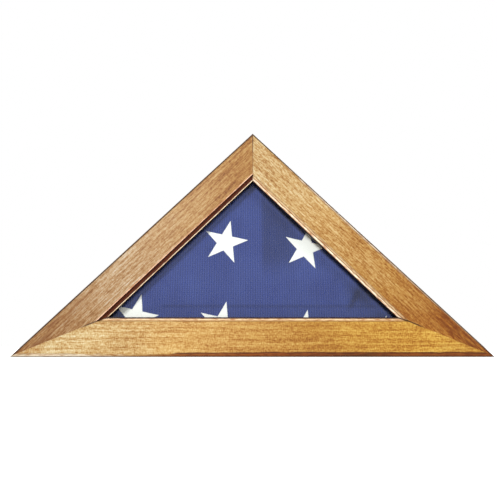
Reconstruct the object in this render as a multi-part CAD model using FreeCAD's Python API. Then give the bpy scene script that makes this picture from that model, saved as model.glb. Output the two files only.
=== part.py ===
"""Folded-flag display case: a mitred triangular frame with a glass front, a box behind it,
and a hinged rear door.  Millimetres.  +Z is up and the front faces -Y.  The origin is on the
surface that the case stands on, under the middle of its bounding box.

"Inset" below means the distance from an edge of the outer triangle towards its inside, and
"depth" means the distance behind the front face."""

import FreeCAD
import Part

import math
import os

# ---- driving dimensions -------------------------------------------------------------------
half_width = 216.0        # half of the long side; the top corner is a right angle
rail_width = 35.0         # moulding, outer edge to sight edge
rail_thickness = 18.0
face_width = 31.0         # flat face of the moulding, up to the start of its cove
cove_radius = 3.0
outer_round = 3.0         # rounded outer front edge of the moulding
rabbet_width = 6.0        # step at the back of the moulding that the glass sits in
rabbet_depth = 8.0        # depth at which the rabbet starts

glass_thickness = 2.0
glass_clearance = 0.5     # all round, inside the rabbet

board_thickness = 12.0    # sides and base of the box
board_inset = 4.0         # the moulding stands proud of the sloping sides by this much
side_depth = 52.0         # front to back, of the two sloping sides
door_thickness = 6.0
door_gap = 0.2            # between the door and the sides that it closes on
door_foot_gap = 0.8       # between the door's bottom edge and the base board
door_top = 168.0          # height of the door's top edge
plate_gap = 0.6           # between the door's top edge and the fixed plate above it
notch_radius = 9.0        # thumb notch in the door's top edge
felt_thickness = 1.0
felt_inset = 20.0

flag_base = 13.0          # height of the folded flag's long side
flag_apex = 181.0
flag_front = 12.5         # depth of the flag's front layer, just behind the glass
flag_back = 66.0
flag_front_inset = 30.5   # the front layer is smaller, because it reaches into the rabbet
star_radius = 22.0
star_thickness = 0.4
star_pitch = 77.0         # between neighbouring stars on the canton's diagonals
star_row_drop = 78.5      # from the upper row of stars to the lower one
star_row_shift = -3.3     # the lower row also lies this far to the right of the upper one
star_turn = -12.5         # degrees that the stars lean, from how the canton is folded
star_rows_turn = -5.0     # degrees that the star rows slope

hinge_offset = 100.0      # of each hinge's middle from the middle of the case
hinge_length = 32.0
leaf_width = 10.5
leaf_thickness = 1.0
knuckle_radius = 2.0
knuckle_stand_off = 0.35  # between a knuckle and the back of the case
knuckle_gap = 0.3         # between neighbouring knuckles
pin_radius = 0.95
pin_clearance = 0.05
pin_head_radius = 1.6
pin_head_thickness = 0.8

screw_head_radius = 2.0
screw_head_depth = 1.0
screw_shank_radius = 0.9
screw_slot_width = 0.6
screw_slot_depth = 0.4

magnet_radius = 4.0
magnet_thickness = 3.0
strike_thickness = 1.5
magnet_height = 118.0
magnet_recess = 0.1

bumper_radius = 5.0
bumper_height = 5.0
bumper_offset = 190.0

hanger_length = 32.0
hanger_height = 8.0
hanger_thickness = 0.9
hanger_rise = 1.3         # its middle stands this far off the plate, for a nail head
hanger_bottom = 181.0
hanger_tooth = 2.0

arris = 0.8               # rounding of the boards' exposed edges

# ---- derived dimensions -------------------------------------------------------------------
root_two = math.sqrt(2.0)
height = half_width
side_back = rail_thickness + side_depth
door_front = side_back + door_gap
case_back = side_back + door_thickness + door_gap
front_y = -(case_back + bumper_height) / 2.0
incentre_height = half_width * (root_two - 1.0)
hinge_height = board_thickness + door_foot_gap / 2.0
hinge_depth = case_back + knuckle_stand_off + knuckle_radius
door_foot = board_thickness + door_foot_gap
plate_foot = door_top + plate_gap


def at_depth(depth):
    """Y of a given depth behind the front face."""
    return front_y + depth


def slope_x(inset, level):
    """Half-width of the outer triangle, inset on its slopes, at a height."""
    return half_width - inset * root_two - level


def prism(outline, start, end):
    """An (x, z) outline made solid between two depths."""
    points = [FreeCAD.Vector(x, at_depth(start), z) for x, z in outline]
    face = Part.Face(Part.makePolygon(points + points[:1]))
    return face.extrude(FreeCAD.Vector(0, end - start, 0))


def triangle(slope_inset, foot, apex_cut=None):
    """Outline of the case's triangle: inset on its slopes, from a foot height up."""
    reach = slope_x(slope_inset, foot)
    if apex_cut is None:
        return [(-reach, foot), (reach, foot), (0.0, foot + reach)]
    top = slope_x(slope_inset, apex_cut)
    return [(-reach, foot), (reach, foot), (top, apex_cut), (-top, apex_cut)]


def eased_back(shape):
    """The same board with the edges of its back face rounded."""
    back = shape.BoundBox.YMax
    edges = [edge for edge in shape.Edges if abs(edge.CenterOfMass.y - back) < 0.01]
    return shape.makeFillet(arris, edges)


def cylinder(radius, length, x, depth, z, direction):
    """A round bar that starts at a place and runs in a direction."""
    place = FreeCAD.Vector(x, at_depth(depth), z)
    return Part.makeCylinder(radius, length, place, direction)


def mirrored(shape):
    """The same shape on the other side of the case."""
    return shape.mirror(FreeCAD.Vector(0, 0, 0), FreeCAD.Vector(1, 0, 0))


FORWARD = FreeCAD.Vector(0, -1, 0)
BACKWARD = FreeCAD.Vector(0, 1, 0)
UP = FreeCAD.Vector(0, 0, 1)
SIDEWAYS = FreeCAD.Vector(1, 0, 0)


# ---- mitred moulding ----------------------------------------------------------------------
def moulding_profile(start, inward):
    """Section of the moulding at a corner of the triangle, with its face, cove and rabbet."""
    def point(inset, depth):
        return start + inward * inset + BACKWARD * depth

    lean = outer_round * (1.0 - 1.0 / root_two)
    cove_lean = cove_radius / root_two
    lip_depth = cove_radius
    rabbet_inset = rail_width - rabbet_width
    corner = Part.Arc(point(0, outer_round), point(lean, lean), point(outer_round, 0))
    cove_middle = point(face_width + cove_radius - cove_lean, cove_lean)
    cove = Part.Arc(point(face_width, 0), cove_middle, point(face_width + cove_radius, lip_depth))
    path = [
        point(face_width + cove_radius, lip_depth),
        point(rail_width, lip_depth),
        point(rail_width, rabbet_depth),
        point(rabbet_inset, rabbet_depth),
        point(rabbet_inset, rail_thickness),
        point(0, rail_thickness),
        point(0, outer_round),
    ]
    edges = [corner.toShape()]
    edges.append(Part.LineSegment(point(outer_round, 0), point(face_width, 0)).toShape())
    edges.append(cove.toShape())
    for first, second in zip(path, path[1:]):
        edges.append(Part.LineSegment(first, second).toShape())
    return Part.Face(Part.Wire(edges))


def rail(first, second):
    """One length of moulding between two corners (x, z), mitred at both ends."""
    start = FreeCAD.Vector(first[0], front_y, first[1])
    end = FreeCAD.Vector(second[0], front_y, second[1])
    run = end - start
    inward = FreeCAD.Vector(-run.z, 0, run.x).normalize()
    length = moulding_profile(start, inward).extrude(run)
    wedge = prism([first, second, (0.0, incentre_height)], 0, rail_thickness)
    return length.common(wedge)


def v_nail(corner, direction):
    """A V-shaped steel nail across a mitre, driven in from the back of the moulding."""
    along = FreeCAD.Vector(direction[0], 0, direction[1]).normalize()
    across = FreeCAD.Vector(-along.z, 0, along.x)
    start = FreeCAD.Vector(corner[0], 0, corner[1])
    arm, spread, thick, nail_depth = 7.0, 3.0, 0.8, 8.0
    outline = [
        start,
        start + along * arm + across * spread,
        start + along * (arm + thick) + across * (spread - thick),
        start + along * (2.0 * thick),
        start + along * (arm + thick) - across * (spread - thick),
        start + along * arm - across * spread,
    ]
    flat = [(p.x, p.z) for p in outline]
    return prism(flat, rail_thickness - nail_depth, rail_thickness - 0.4)


def v_nails():
    """Two V-nails in each of the three mitres."""
    nails = []
    for offset in (16.0, 28.0):
        top = (0.0, height - offset)
        nails.append(v_nail(top, (0.0, -1.0)))
    for offset in (34.0, 52.0):
        angle = math.radians(22.5)
        x = half_width - offset * math.cos(angle)
        z = offset * math.sin(angle)
        nails.append(v_nail((x, z), (-math.cos(angle), math.sin(angle))))
        nails.append(v_nail((-x, z), (math.cos(angle), math.sin(angle))))
    return nails


# ---- glass --------------------------------------------------------------------------------
def glass():
    """Clear pane that fills the rabbet."""
    inset = rail_width - rabbet_width + glass_clearance
    return prism(triangle(inset, inset), rabbet_depth, rabbet_depth + glass_thickness)


def glazing_point(x, z, outward):
    """A flat steel point, half in the rabbet's wall and half over the back of the glass."""
    out = FreeCAD.Vector(outward[0], 0, outward[1]).normalize()
    across = FreeCAD.Vector(-out.z, 0, out.x)
    wall = FreeCAD.Vector(x, 0, z)
    half, reach, shoulder, buried = 3.5, 4.0, 1.5, 5.0
    corners = [
        wall - out * reach - across * half,
        wall - out * reach + across * half,
        wall + out * shoulder + across * half,
        wall + out * buried,
        wall + out * shoulder - across * half,
    ]
    depth = rabbet_depth + glass_thickness
    return prism([(p.x, p.z) for p in corners], depth, depth + 0.8)


def glazing_points():
    """Three points along the bottom of the glass and two along each slope."""
    wall = rail_width - rabbet_width
    points = [glazing_point(x, wall, (0.0, -1.0)) for x in (-100.0, 0.0, 100.0)]
    for level in (62.0, 122.0):
        x = slope_x(wall, level)
        points.append(glazing_point(x, level, (1.0, 1.0)))
        points.append(glazing_point(-x, level, (-1.0, 1.0)))
    return points


# ---- box ----------------------------------------------------------------------------------
def side_board():
    """Right-hand sloping side of the box, standing on the base and mitred at the top."""
    outer = board_inset
    inner = board_inset + board_thickness
    outline = [
        (slope_x(outer, board_thickness), board_thickness),
        (0.0, slope_x(outer, 0.0)),
        (0.0, slope_x(inner, 0.0)),
        (slope_x(inner, board_thickness), board_thickness),
    ]
    return prism(outline, rail_thickness, side_back)


def base_board():
    """Board that the case stands on. It runs back past the sides, under the door."""
    outline = triangle(board_inset, 0.0, board_thickness)
    return eased_back(prism(outline, rail_thickness, case_back))


def box_brads():
    """Headed brads up through the base into each side, and across the top mitre."""
    shank, head, head_depth = 0.7, 1.4, 0.8
    brads = []
    for x in (-186.5, 186.5):
        for depth in (28.0, 44.0, 60.0):
            body = cylinder(shank, 22.0, x, depth, 0.6, UP)
            cap = cylinder(head, head_depth, x, depth, 0.6, UP)
            brads.append(body.fuse(cap))
    for depth in (32.0, 56.0):
        body = cylinder(shank, 19.0, -10.0, depth, 198.0, SIDEWAYS)
        cap = cylinder(head, head_depth, -10.0, depth, 198.0, SIDEWAYS)
        brads.append(body.fuse(cap))
    return brads


def hanger_plate():
    """Fixed triangle of plywood above the door, which carries the hanger."""
    return eased_back(prism(triangle(board_inset, plate_foot), side_back, case_back))


# ---- fasteners ----------------------------------------------------------------------------
def countersunk_screw(x, z, length, surface_depth):
    """Slotted countersunk screw driven forward from the back, its head flush at a depth."""
    place = FreeCAD.Vector(x, at_depth(surface_depth), z)
    head = Part.makeCone(screw_head_radius, screw_shank_radius, screw_head_depth, place, FORWARD)
    shank = Part.makeCylinder(screw_shank_radius, length, place, FORWARD)
    slot = Part.makeBox(2.2 * screw_head_radius, 2.0 * screw_slot_depth, screw_slot_width)
    slot.translate(place - FreeCAD.Vector(1.1 * screw_head_radius, screw_slot_depth,
                                          screw_slot_width / 2.0))
    return head.fuse(shank).cut(slot)


def screw_hole(x, z, length, surface_depth):
    """The hole that a countersunk screw fills."""
    place = FreeCAD.Vector(x, at_depth(surface_depth), z)
    head = Part.makeCone(screw_head_radius, screw_shank_radius, screw_head_depth, place, FORWARD)
    shank = Part.makeCylinder(screw_shank_radius, length, place, FORWARD)
    return head.fuse(shank)


plate_screw_places = [(-29.0, 174.0), (29.0, 174.0)]
leaf_screw_offsets = (-11.0, 11.0)
case_screw_height = 5.2
door_screw_height = 2.0 * hinge_height - case_screw_height
leaf_back = case_back + leaf_thickness


def hinge_screw_places(level):
    """Middles of the four screws in the two leaves at a height."""
    return [(side * hinge_offset + offset, level)
            for side in (-1.0, 1.0) for offset in leaf_screw_offsets]


# ---- hinges -------------------------------------------------------------------------------
def knuckle(start, length):
    """A tube on the hinge line, bored for the pin."""
    tube = cylinder(knuckle_radius, length, start, hinge_depth, hinge_height, SIDEWAYS)
    bore = cylinder(pin_radius + pin_clearance, length, start, hinge_depth, hinge_height, SIDEWAYS)
    return tube, bore


def hinge_leaf(middle, upwards, knuckles, cleared):
    """One leaf with its knuckles, cut back where the other leaf's knuckles turn."""
    start = middle - hinge_length / 2.0
    low, high = (0.0, leaf_width) if upwards else (-leaf_width, 0.0)
    outline = [
        (start, hinge_height + low),
        (start + hinge_length, hinge_height + low),
        (start + hinge_length, hinge_height + high),
        (start, hinge_height + high),
    ]
    leaf = prism(outline, case_back, leaf_back)
    for offset, length in cleared:
        room = cylinder(knuckle_radius + 0.35, length + 2.0 * knuckle_gap,
                        start + offset - knuckle_gap, hinge_depth, hinge_height, SIDEWAYS)
        leaf = leaf.cut(room)
    for offset, length in knuckles:
        tube, bore = knuckle(start + offset, length)
        leaf = leaf.fuse(tube).cut(bore)
    level = door_screw_height if upwards else case_screw_height
    for offset in leaf_screw_offsets:
        leaf = leaf.cut(screw_hole(middle + offset, level, 8.0, leaf_back))
    return leaf.removeSplitter()


def knuckle_layout():
    """(offset, length) of the case leaf's two outer knuckles and the door leaf's middle one."""
    outer = (hinge_length - 2.0 * knuckle_gap) / 4.0
    inner = hinge_length - 2.0 * outer - 2.0 * knuckle_gap
    case_side = [(0.0, outer), (hinge_length - outer, outer)]
    door_side = [(outer + knuckle_gap, inner)]
    return case_side, door_side


def hinge_pin(middle):
    """Steel pin with a rounded-over head at each end."""
    start = middle - hinge_length / 2.0
    shank = cylinder(pin_radius, hinge_length, start, hinge_depth, hinge_height, SIDEWAYS)
    for x in (start - pin_head_thickness, start + hinge_length):
        head = cylinder(pin_head_radius, pin_head_thickness, x, hinge_depth, hinge_height, SIDEWAYS)
        shank = shank.fuse(head)
    return shank.removeSplitter()


# ---- door ---------------------------------------------------------------------------------
def thumb_notch(radius):
    """Half-round cut in the middle of the door's top edge."""
    return cylinder(radius, 3.0 * door_thickness, 0.0, side_back - door_thickness, door_top, BACKWARD)


def door_panel():
    """Plywood door that closes on the back of the sides."""
    outline = triangle(board_inset, door_foot, door_top)
    panel = prism(outline, door_front, case_back).cut(thumb_notch(notch_radius))
    return eased_back(panel)


def door_felt():
    """Felt glued to the inside of the door."""
    outline = triangle(felt_inset, door_foot + 2.0, door_top - 4.0)
    felt = prism(outline, door_front - felt_thickness, door_front)
    return felt.cut(thumb_notch(notch_radius + 2.0))


def magnet_places():
    """Middle of the back edge of each side at the magnets' height."""
    x = slope_x(board_inset + board_thickness / 2.0, magnet_height)
    return [-x, x]


def magnets():
    """Round magnets let into the back edges of the sides."""
    depth = side_back - magnet_recess - magnet_thickness
    return [cylinder(magnet_radius, magnet_thickness, x, depth, magnet_height, BACKWARD)
            for x in magnet_places()]


def magnet_pockets():
    """The bores that the magnets fill, open at the back."""
    depth = side_back - magnet_recess - magnet_thickness
    return [cylinder(magnet_radius, magnet_thickness + 1.0, x, depth, magnet_height, BACKWARD)
            for x in magnet_places()]


def strikes():
    """Steel discs let into the door opposite the magnets."""
    depth = door_front + magnet_recess
    return [cylinder(magnet_radius, strike_thickness, x, depth, magnet_height, BACKWARD)
            for x in magnet_places()]


def strike_pockets():
    """The bores that the strikes fill, open at the front of the door."""
    return [cylinder(magnet_radius, strike_thickness + magnet_recess, x, door_front,
                     magnet_height, BACKWARD) for x in magnet_places()]


# ---- hanger and bumpers -------------------------------------------------------------------
def sawtooth_hanger():
    """Bent strip with teeth along its lower edge, nailed down at both ends."""
    half = hanger_length / 2.0
    foot, ramp = 5.5, 2.0
    back = case_back
    rise, thick = hanger_rise, hanger_thickness
    upper = [(-half, 0.0), (-half + foot, 0.0), (-half + foot + ramp, rise)]
    upper += [(-x, depth) for x, depth in reversed(upper)]
    lower = [(x, depth + thick) for x, depth in reversed(upper)]
    points = [FreeCAD.Vector(x, at_depth(back + depth), hanger_bottom)
              for x, depth in upper + lower]
    strip = Part.Face(Part.makePolygon(points + points[:1])).extrude(UP * hanger_height)
    flat_half = half - foot - ramp
    count = int(2.0 * flat_half / hanger_tooth)
    for index in range(count):
        left = -count * hanger_tooth / 2.0 + index * hanger_tooth
        tooth = [
            (left, hanger_bottom - 0.1),
            (left + hanger_tooth, hanger_bottom - 0.1),
            (left + hanger_tooth / 2.0, hanger_bottom + 1.4),
        ]
        strip = strip.cut(prism(tooth, back, back + 4.0))
    for nail in hanger_nails():
        strip = strip.cut(nail)
    return strip


def hanger_nails():
    """A small flat-headed nail through each end of the hanger."""
    nails = []
    level = hanger_bottom + hanger_height / 2.0
    for x in (-hanger_length / 2.0 + 2.8, hanger_length / 2.0 - 2.8):
        shank = cylinder(0.6, 5.5, x, case_back + hanger_thickness, level, FORWARD)
        head = cylinder(1.5, 0.5, x, case_back + hanger_thickness + 0.5, level, FORWARD)
        nails.append(shank.fuse(head))
    return nails


def wall_bumpers():
    """Soft domed discs on the base board's back edge, which keep the case off the wall."""
    bumpers = []
    for x in (-bumper_offset, bumper_offset):
        disc = cylinder(bumper_radius, bumper_height, x, case_back, board_thickness / 2.0, BACKWARD)
        rim = [edge for edge in disc.Edges
               if abs(edge.CenterOfMass.y - at_depth(case_back + bumper_height)) < 0.01]
        bumpers.append(disc.makeFillet(1.5, rim))
    return bumpers


# ---- folded flag --------------------------------------------------------------------------
def folded_flag():
    """Closed bundle: the triangle that fills the box, and its front layer in the rabbet."""
    reach = flag_apex - flag_base
    body = [(-reach, flag_base), (reach, flag_base), (0.0, flag_apex)]
    bundle = prism(body, rail_thickness + 1.0, flag_back)
    front = prism(triangle(flag_front_inset, flag_front_inset), flag_front, rail_thickness + 1.0)
    return bundle.fuse(front).removeSplitter()


def star_outline(x, z, turn):
    """Five-pointed star about (x, z), turned in degrees."""
    inner = star_radius * math.sin(math.radians(18)) / math.sin(math.radians(54))
    points = []
    for index in range(10):
        angle = math.radians(90 + turn + 36 * index)
        radius = inner if index % 2 else star_radius
        points.append((x + radius * math.cos(angle), z + radius * math.sin(angle)))
    return points


def star_places(first_x, first_z, slope):
    """Star middles on the folded canton: two above, and four along the long side."""
    along = FreeCAD.Vector(math.cos(math.radians(slope)), 0, math.sin(math.radians(slope)))
    down = FreeCAD.Vector(star_row_shift, 0, -star_row_drop)
    first = FreeCAD.Vector(first_x, 0, first_z)
    upper = [first + along * (star_pitch * step) for step in (0, 1)]
    lower = [first + down + along * (star_pitch * step) for step in (-1, 0, 1, 2)]
    return [(p.x, p.z) for p in upper + lower]


def flag_stars():
    """Sewn-on stars that show on the front and the back of the folded flag."""
    room = triangle(flag_front_inset + 0.5, flag_front_inset + 0.5)
    front_room = prism(room, flag_front - star_thickness, flag_front)
    reach = flag_apex - flag_base - 1.5
    back_outline = [(-reach, flag_base + 0.5), (reach, flag_base + 0.5), (0.0, flag_apex - 1.0)]
    back_room = prism(back_outline, flag_back, flag_back + star_thickness)
    stars = []
    for x, z in star_places(-26.0, 107.1, star_rows_turn):
        star = prism(star_outline(x, z, star_turn), flag_front - star_thickness, flag_front)
        stars.append(star.common(front_room))
    for x, z in star_places(-34.0, 108.0, 0.0):
        star = prism(star_outline(x, z, 9.0), flag_back, flag_back + star_thickness)
        stars.append(star.common(back_room))
    return [piece for star in stars for piece in star.Solids if piece.Volume > 5.0]


# ---- assembly -----------------------------------------------------------------------------
def cut_all(shape, tools):
    """The shape with every tool cut away."""
    for tool in tools:
        shape = shape.cut(tool)
    return shape


def build():
    """Every node of the case, by name."""
    left, right, top = (-half_width, 0.0), (half_width, 0.0), (0.0, height)
    nails = v_nails()
    points = glazing_points()
    brads = box_brads()
    case_knuckles, door_knuckles = knuckle_layout()
    case_places = hinge_screw_places(case_screw_height)
    door_places = hinge_screw_places(door_screw_height)
    case_screws = [countersunk_screw(x, z, 9.0, leaf_back) for x, z in case_places]
    door_screws = [countersunk_screw(x, z, 6.0, leaf_back) for x, z in door_places]
    plate_screws = [countersunk_screw(x, z, 14.0, case_back) for x, z in plate_screw_places]
    plate_holes = [screw_hole(x, z, 14.0, case_back) for x, z in plate_screw_places]
    case_holes = [screw_hole(x, z, 9.0, leaf_back) for x, z in case_places]
    door_holes = [screw_hole(x, z, 6.0, leaf_back) for x, z in door_places]

    nodes = {
        "bottom_rail": cut_all(rail(left, right), nails + points),
        "right_rail": cut_all(rail(right, top), nails + points),
        "left_rail": cut_all(rail(top, left), nails + points),
        "mitre_v_nails": Part.makeCompound(nails),
        "glass_pane": glass(),
        "glazing_points": Part.makeCompound(points),
        "right_side": cut_all(side_board(), brads + magnet_pockets() + plate_holes),
        "left_side": cut_all(mirrored(side_board()), brads + magnet_pockets() + plate_holes),
        "base_board": cut_all(base_board(), brads + case_holes),
        "box_brads": Part.makeCompound(brads),
        "hanger_plate": cut_all(hanger_plate(), plate_holes + hanger_nails()),
        "plate_screws": Part.makeCompound(plate_screws),
        "sawtooth_hanger": sawtooth_hanger(),
        "hanger_nails": Part.makeCompound(hanger_nails()),
        "wall_bumpers": Part.makeCompound(wall_bumpers()),
        "case_magnets": Part.makeCompound(magnets()),
        "case_hinge_screws": Part.makeCompound(case_screws),
        "door_panel": cut_all(door_panel(), door_holes + strike_pockets()),
        "door_felt": door_felt(),
        "door_strikes": Part.makeCompound(strikes()),
        "door_hinge_screws": Part.makeCompound(door_screws),
        "folded_flag": folded_flag(),
        "flag_stars": Part.makeCompound(flag_stars()),
    }
    for side, middle in (("left", -hinge_offset), ("right", hinge_offset)):
        nodes[side + "_case_leaf"] = hinge_leaf(middle, False, case_knuckles, door_knuckles)
        nodes[side + "_door_leaf"] = hinge_leaf(middle, True, door_knuckles, case_knuckles)
        nodes[side + "_hinge_pin"] = hinge_pin(middle)
    return nodes


os.makedirs("parts", exist_ok=True)
for name, shape in build().items():
    if not shape.isValid():
        raise ValueError(name + " is not a valid shape")
    shape.exportStep(os.path.join("parts", name + ".step"))
    print(name, len(shape.Solids), round(shape.Volume, 1))
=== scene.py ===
import math

import bpy
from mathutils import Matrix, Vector, noise
from mathutils.bvhtree import BVHTree


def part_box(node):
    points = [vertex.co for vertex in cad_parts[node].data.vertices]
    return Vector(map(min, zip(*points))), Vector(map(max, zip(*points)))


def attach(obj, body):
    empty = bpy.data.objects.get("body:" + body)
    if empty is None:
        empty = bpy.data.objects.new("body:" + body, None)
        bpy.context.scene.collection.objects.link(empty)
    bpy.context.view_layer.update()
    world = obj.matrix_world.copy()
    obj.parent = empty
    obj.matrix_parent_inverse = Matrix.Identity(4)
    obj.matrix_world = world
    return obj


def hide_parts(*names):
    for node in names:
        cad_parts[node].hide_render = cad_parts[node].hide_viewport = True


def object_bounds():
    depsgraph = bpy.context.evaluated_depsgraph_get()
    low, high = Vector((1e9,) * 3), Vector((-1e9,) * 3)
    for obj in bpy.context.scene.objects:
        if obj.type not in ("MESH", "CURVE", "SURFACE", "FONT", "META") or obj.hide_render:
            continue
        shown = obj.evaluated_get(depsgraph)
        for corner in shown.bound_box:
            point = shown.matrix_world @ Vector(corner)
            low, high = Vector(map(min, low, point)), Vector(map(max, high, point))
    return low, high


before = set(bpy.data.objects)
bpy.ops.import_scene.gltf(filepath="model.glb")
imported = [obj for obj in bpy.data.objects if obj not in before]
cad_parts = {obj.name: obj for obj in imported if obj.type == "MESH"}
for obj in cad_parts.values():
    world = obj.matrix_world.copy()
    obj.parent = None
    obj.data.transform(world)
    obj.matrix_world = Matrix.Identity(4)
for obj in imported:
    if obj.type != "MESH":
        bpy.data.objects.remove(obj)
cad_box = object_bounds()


# ---- Camera ---------------------------------------------------------------------------------
# A camera held just above the shelf, a forearm's length in front of the case and tipped up, so
# the top corner leans a little away and the box hides behind the moulding.

front = cad_box[0].y
tip_up = 12.51
swing = -0.40

bpy.ops.object.select_all(action="DESELECT")
camera_data = bpy.data.cameras.new("camera")
camera_data.sensor_width = 36.0
camera_data.lens = 31.87
camera_data.clip_start = 0.002
camera = bpy.data.objects.new("camera", camera_data)
bpy.context.scene.collection.objects.link(camera)
camera.location = (-0.0070, front - 0.4007, 0.0094)
camera.rotation_euler = (math.radians(90 + tip_up), 0, math.radians(swing))
bpy.context.scene.camera = camera
bpy.context.scene.view_settings.view_transform = "Standard"


# ---- Studio: floor, background and lights ---------------------------------------------------
# A white sweep, one soft key light high on the left, a weak fill on the right that the glass
# doesn't mirror, and a soft light for the back of the case.

sky_strength = 0.62
floor_size = 6.0
floor_drop = 0.0002
look_at = Vector((0, 0, 0.09))


def linear(code):
    """The linear colour of an sRGB hex code, with full alpha."""
    parts = [int(code[i:i + 2], 16) / 255 for i in (1, 3, 5)]
    return tuple(p / 12.92 if p <= 0.04045 else ((p + 0.055) / 1.055) ** 2.4 for p in parts) + (1.0,)


def add(tree, kind, inputs=(), stops=(), **settings):
    """Adds a shader node and returns it.

    Its inputs are given by name or, in a tuple, in their order. A node or a socket is linked, and
    anything else is set. The stops of a colour ramp are (position, sRGB hex code, alpha).
    """
    made = tree.nodes.new("ShaderNode" + kind)
    for name, value in settings.items():
        setattr(made, name, value)
    if isinstance(inputs, dict):
        pairs = [(made.inputs[name], value) for name, value in inputs.items()]
    else:
        pairs = list(zip([socket for socket in made.inputs if socket.enabled], inputs))
    for socket, value in pairs:
        if isinstance(value, bpy.types.Node):
            value = next(output for output in value.outputs if output.enabled)
        if isinstance(value, bpy.types.NodeSocket):
            tree.links.new(value, socket)
        else:
            socket.default_value = value
    if stops:
        elements = made.color_ramp.elements
        elements.remove(elements[1])
        for index, (at, code, alpha) in enumerate(stops):
            stop = elements[0] if index == 0 else elements.new(at)
            stop.position = at
            stop.color = linear(code)[:3] + (alpha,)
    return made


def material(name):
    """An empty material and its node tree."""
    made = bpy.data.materials.new(name)
    made.use_nodes = True
    made.node_tree.nodes.clear()
    return made, made.node_tree


world = bpy.data.worlds.new("studio_white")
world.use_nodes = True
bpy.context.scene.world = world
sky = world.node_tree
sky.nodes.clear()
ray = add(sky, "LightPath")
seen = add(sky, "Background", {"Color": linear("#ffffff"), "Strength": 1.0})
lit = add(sky, "Background", {"Color": linear("#fbfaf8"), "Strength": sky_strength})
both = add(sky, "MixShader", (ray.outputs["Is Camera Ray"], lit, seen))
add(sky, "OutputWorld", {"Surface": both})

# Matt white paper that glows a little, so its far end doesn't turn grey.
paper, tree = material("white_paper_sweep")
shade = add(tree, "BsdfPrincipled", {"Base Color": linear("#f7f6f4"), "Roughness": 0.9,
                                     "Emission Color": linear("#ffffff"), "Emission Strength": 0.75})
add(tree, "OutputMaterial", {"Surface": shade})
bpy.ops.mesh.primitive_plane_add(size=floor_size, location=(0, 0, -floor_drop))
floor = bpy.context.object
floor.name = "floor"
floor.data.materials.append(paper)
floor.visible_diffuse = False
floor.visible_glossy = False

for name, place, size, power in (
    ("key_light", (-0.36, front - 1.0, 0.56), 0.3, 11.5),
    ("fill_light", (0.9, front - 0.7, 0.35), 0.6, 4.5),
    ("back_light", (0.5, 1.1, 0.8), 0.6, 12.0),
):
    lamp = bpy.data.lights.new(name, "AREA")
    lamp.size = size
    lamp.energy = power
    stand = bpy.data.objects.new(name, lamp)
    bpy.context.scene.collection.objects.link(stand)
    stand.location = place
    stand.visible_glossy = name != "fill_light"
    stand.rotation_euler = (look_at - Vector(place)).to_track_quat("-Z", "Y").to_euler()


# ---- Moulding: left, right and bottom rails -------------------------------------------------
# Three mitred lengths of one alder moulding, machined with a cove and a narrow lip, stained golden
# oak and lacquered satin. The stain is uneven and worn paler on some of the edges, and the edges, cove
# and lip also carry painted light and shade.

MM = 0.001
half_width = cad_box[1].x
long_edge_half = half_width / MM
short_edge_half = long_edge_half / math.sqrt(2)
rail_width = 35.0
cove_depth = 3.0


def along_the_grain(tree, turn, reach):
    """Millimetre coordinates of a board: X along it, Y behind the face, Z in from its outer edge."""
    place = add(tree, "TexCoord")
    return add(tree, "Mapping", {"Vector": place.outputs["Object"], "Rotation": (0, math.radians(turn), 0),
                                 "Scale": (1 / MM, 1 / MM, 1 / MM), "Location": (0, -front / MM, reach)})


def noise_layer(tree, place, size, seed, detail=2.0, rough=0.5):
    """Noise whose blotches have a real size in millimetres along X, Y and Z."""
    squeezed = add(tree, "VectorMath", (place, tuple(1 / extent for extent in size)), operation="MULTIPLY")
    shifted = add(tree, "VectorMath", (squeezed, (seed, seed * 0.7, seed * 1.3)), operation="ADD")
    return add(tree, "TexNoise", {"Vector": shifted, "Scale": 1.0, "Detail": detail,
                                  "Roughness": rough}).outputs["Fac"]


def stained_grain(tree, place, half_length, tones, weights, seed):
    """Stained wood, with its figure and the share of the board's length.

    Its tone drifts along the board through tones. The figure is five layers of noise, with weights:
    clouds, mottling, long streaks, pores and cross ripples. Alder's pores are a tenth of a
    millimetre wide, too fine to show, so they are drawn coarser.
    """
    cloud = noise_layer(tree, place, (42, 20, 20), seed, 3.0)
    mottle = noise_layer(tree, place, (11, 5, 5), seed + 6, 2.0)
    streak = noise_layer(tree, place, (55, 1.7, 1.7), seed + 1, 3.0, 0.6)
    pore = noise_layer(tree, place, (3.6, 0.85, 0.85), seed + 2, 1.0)
    ripple = noise_layer(tree, place, (0.95, 2.4, 2.4), seed + 3, 1.0)
    figure = 0.0
    for layer, weight in zip((cloud, mottle, streak, pore, ripple), weights):
        figure = add(tree, "Math", (layer, weight, figure), operation="MULTIPLY_ADD")
    figure = add(tree, "MapRange", (figure, 0.38, 0.63))
    wobble = add(tree, "MapRange", (cloud, 0.3, 0.7, -18.0, 18.0))
    along = add(tree, "Math", (add(tree, "SeparateXYZ", (place,)).outputs["X"], wobble), operation="ADD")
    share = add(tree, "MapRange", (along, -half_length, half_length))
    first_tone, tone_gap = 0.12, 0.253
    drift = add(tree, "ValToRGB", (share,), [(first_tone + tone_gap * step, code, 1.0)
                                             for step, code in enumerate(tones)])
    tint = add(tree, "ValToRGB", (figure,), ((0.0, "#a0703a", 1.0), (0.35, "#cdaa7c", 1.0),
                                             (0.65, "#ead8bc", 1.0), (1.0, "#ffffff", 1.0)))
    wood = add(tree, "Mix", (1.0, drift, tint), data_type="RGBA", blend_type="MULTIPLY")
    return wood, figure, share


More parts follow.
